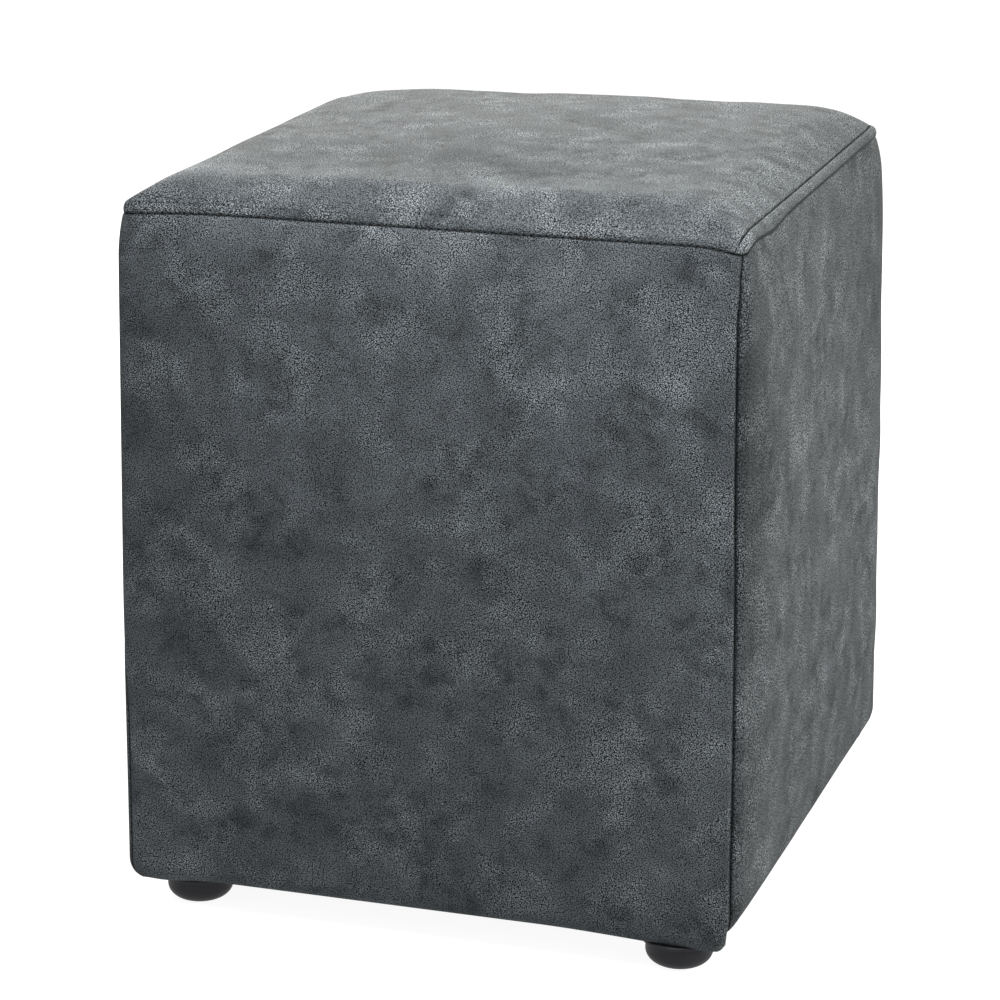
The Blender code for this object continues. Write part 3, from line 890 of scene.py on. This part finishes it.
def glide_profile():
    """Radius and height from the middle of the flat underside, round the pad's edge, up its side, over the
    small fillet to the flange, round its rim, and back to the middle of the top."""
    angle = np.radians(np.linspace(0, 90, 21))
    top = FOOT_HEIGHT - GAP
    low = top - FLANGE_THICKNESS
    pad_r = PAD_RADIUS - PAD_ROUNDING * (1 - np.sin(angle))
    pad_z = PAD_ROUNDING_HEIGHT * (1 - np.cos(angle))
    fillet_r = PAD_RADIUS + FILLET * (1 - np.cos(angle)) - FILLET_SUNK
    fillet_z = low - FILLET + FILLET * np.sin(angle)
    rim_angle = np.radians(np.linspace(-90, 90, 9))
    rim_r = FLANGE_RADIUS - FLANGE_RIM + FLANGE_RIM * np.cos(rim_angle)
    rim_middle = (low + top) / 2 + (FLANGE_THICKNESS / 2 - FLANGE_RIM) * np.sign(rim_angle)
    rim_z = rim_middle + FLANGE_RIM * np.sin(rim_angle)
    side_r, side_z = [PAD_RADIUS - FILLET_SUNK], [low - FILLET - FILLET_CLEARANCE]
    radius = np.concatenate([[0, FLAT_RING_RADIUS], pad_r, side_r, fillet_r, rim_r, [0]])
    height = np.concatenate([[0, 0], pad_z, side_z, fillet_z, rim_z, [top]])
    return radius, height


def make_glide(name, node, place_x, place_y, material):
    """The profile turned about the glide's own axis."""
    radius, height = glide_profile()
    around = np.linspace(0, 2 * math.pi, GLIDE_STEPS, endpoint=False)
    places = np.stack(
        [
            place_x + radius[:, None] * np.cos(around),
            place_y + radius[:, None] * np.sin(around),
            height[:, None] + 0 * around,
        ],
        -1,
    )
    index = np.arange(radius.size * GLIDE_STEPS).reshape(-1, GLIDE_STEPS)
    ahead = np.roll(index, -1, 1)
    quads = np.stack([index[:-1], ahead[:-1], ahead[1:], index[1:]], -1).reshape(-1, 4)
    piece = new_piece(name, places, quads.tolist())
    piece.data.materials.append(material)
    face_outwards(piece)
    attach(piece, "root")
    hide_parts(node)


satin_black = glide_material("satin_black_plastic")
for glide_words in FEET:
    make_glide(*glide_words, satin_black)


# ---- Floor and light ----------------------------------------------------------------------------
# A plain white studio floor that runs to the horizon, whose bounce is left out, soft boxes at the front,
# at the right and behind, all facing the stool's middle, and pale surroundings.
FLOOR_HALF = 30
STOOL_MIDDLE = (0.0, 0.0, 0.3)
WHITE = (1.0, 1.0, 1.0)
WARM_WHITE = (1.0, 0.975, 0.91)
# name, place, side, power, colour
SOFTBOXES = (
    ("front_edge_softbox", (0.1, -0.45, 0.95), 0.4, 5.1, WHITE),
    ("front_right_softbox", (1.1, -0.9, 0.9), 0.6, 1.0, WHITE),
    ("right_softbox", (2.0, 0.0, 0.8), 1.0, 25.0, (1.0, 0.975, 0.895)),
    ("back_softbox", (0.0, 1.8, 0.75), 0.8, 21.5, WARM_WHITE),
    ("back_right_softbox", (0.9, 1.6, 0.8), 0.8, 4.2, WARM_WHITE),
    ("back_left_softbox", (-0.9, 1.5, 0.8), 0.8, 18.4, WARM_WHITE),
    ("high_back_left_softbox", (-1.2, 1.4, 1.5), 1.0, 25.0, WARM_WHITE),
)
floor_mesh = bpy.data.meshes.new("floor")
floor_corners = [(x * FLOOR_HALF, y * FLOOR_HALF, 0) for x, y in ((-1, -1), (1, -1), (1, 1), (-1, 1))]
floor_mesh.from_pydata(floor_corners, [], [(0, 1, 2, 3)])
floor = bpy.data.objects.new("floor", floor_mesh)
bpy.context.collection.objects.link(floor)
floor_material, floor_shader = new_material("pale_floor")
floor_shader.inputs["Base Color"].default_value = (0.30, 0.30, 0.30, 1.0)
floor_shader.inputs["Roughness"].default_value = 1.0
floor_shader.inputs["Specular IOR Level"].default_value = 0.0
floor_shader.inputs["Emission Color"].default_value = (*WHITE, 1.0)
floor_shader.inputs["Emission Strength"].default_value = 0.92
floor_mesh.materials.append(floor_material)
floor.visible_diffuse = False
floor.visible_glossy = False


def softbox(name, place, side, power, colour):
    """A square area light at place, turned to face the middle of the stool."""
    data = bpy.data.lights.new(name, "AREA")
    data.size, data.energy, data.color = side, power, colour
    lamp = bpy.data.objects.new(name, data)
    bpy.context.collection.objects.link(lamp)
    way = np.array(STOOL_MIDDLE) - np.array(place)
    yaw = math.atan2(-way[0], way[1])
    pitch = math.atan2(way[2], math.hypot(way[0], way[1]))
    turned = Matrix.Rotation(yaw, 4, "Z") @ Matrix.Rotation(math.pi / 2 + pitch, 4, "X")
    lamp.matrix_world = Matrix.Translation(place) @ turned


for softbox_words in SOFTBOXES:
    softbox(*softbox_words)

world = bpy.data.worlds.new("pale_surroundings")
bpy.context.scene.world = world
world.use_nodes = True
background = world.node_tree.nodes["Background"]
background.inputs["Color"].default_value = (*WHITE, 1.0)
background.inputs["Strength"].default_value = 0.5
